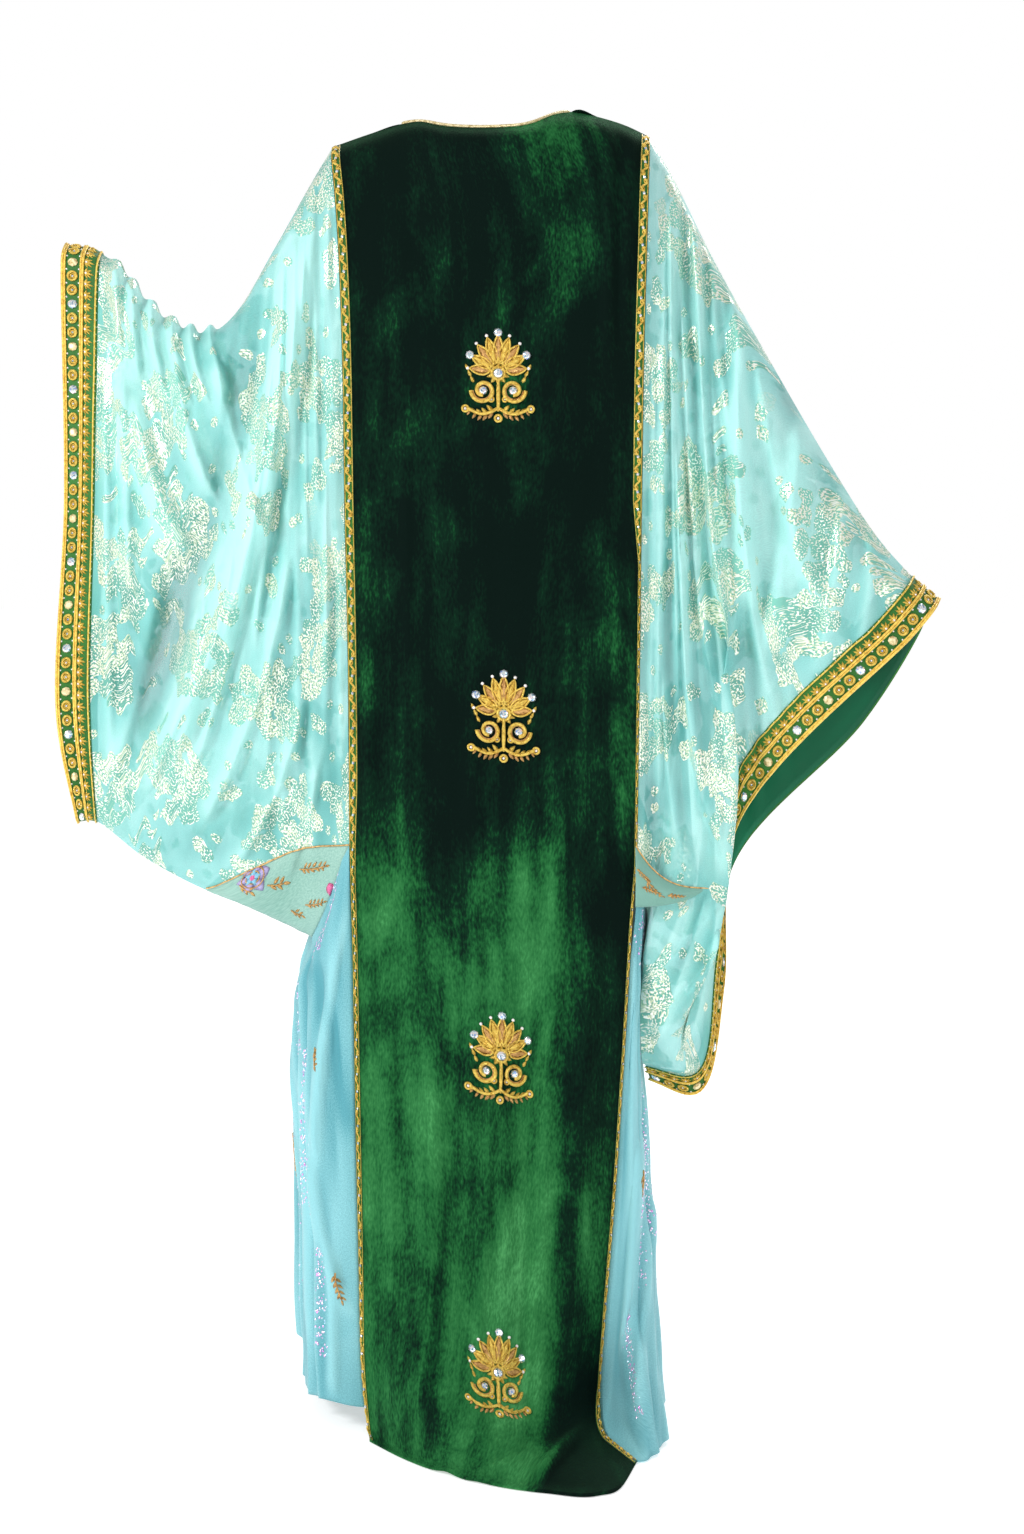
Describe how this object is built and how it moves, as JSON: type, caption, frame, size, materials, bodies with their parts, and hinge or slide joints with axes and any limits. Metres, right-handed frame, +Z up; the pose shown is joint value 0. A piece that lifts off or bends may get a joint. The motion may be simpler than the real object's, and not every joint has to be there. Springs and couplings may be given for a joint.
{
  "type": "nashal dress",
  "caption": "Wide-sleeved ceremonial over-dress with a velvet centre panel and small train, sheer hanging sleeves, beaded cuffs and gold braid edges.",
  "frame": {"origin": "midway between the shoulder points, at the height of the shoulder tips, where the wearer's shoulders hold the dress up", "axes": "+Z up, the dress's front towards -Y and its train towards +Y, the wearer's left towards +X"},
  "size_m": [0.9896, 0.5601, 1.4397],
  "materials": {
    "velvet": "dark green silk velvet with a soft sheen",
    "sheer": "sheer aqua chiffon with woven pale gold flowers",
    "gusset": "pistachio chiffon with embroidered flowers",
    "cuff": "green ground closely worked with gold cord, rings and crystals",
    "turquoise": "plain turquoise chiffon with lines of sequins",
    "facing": "dark green satin",
    "gold": "gold wire braid"
  },
  "bodies": {
    "root": {"back_panel": "velvet", "front_panel": "velvet", "sleeve_left_back": "sheer", "sleeve_left_front": "sheer", "gusset_left": "gusset", "cuff_left": "cuff", "side_left": "turquoise", "sleeve_right_back": "sheer", "sleeve_right_front": "sheer", "gusset_right": "gusset", "cuff_right": "cuff", "side_right": "turquoise", "facing_right": "facing", "trim_left": "gold", "trim_right": "gold", "neck_binding": "gold"}
  },
  "joints": []
}
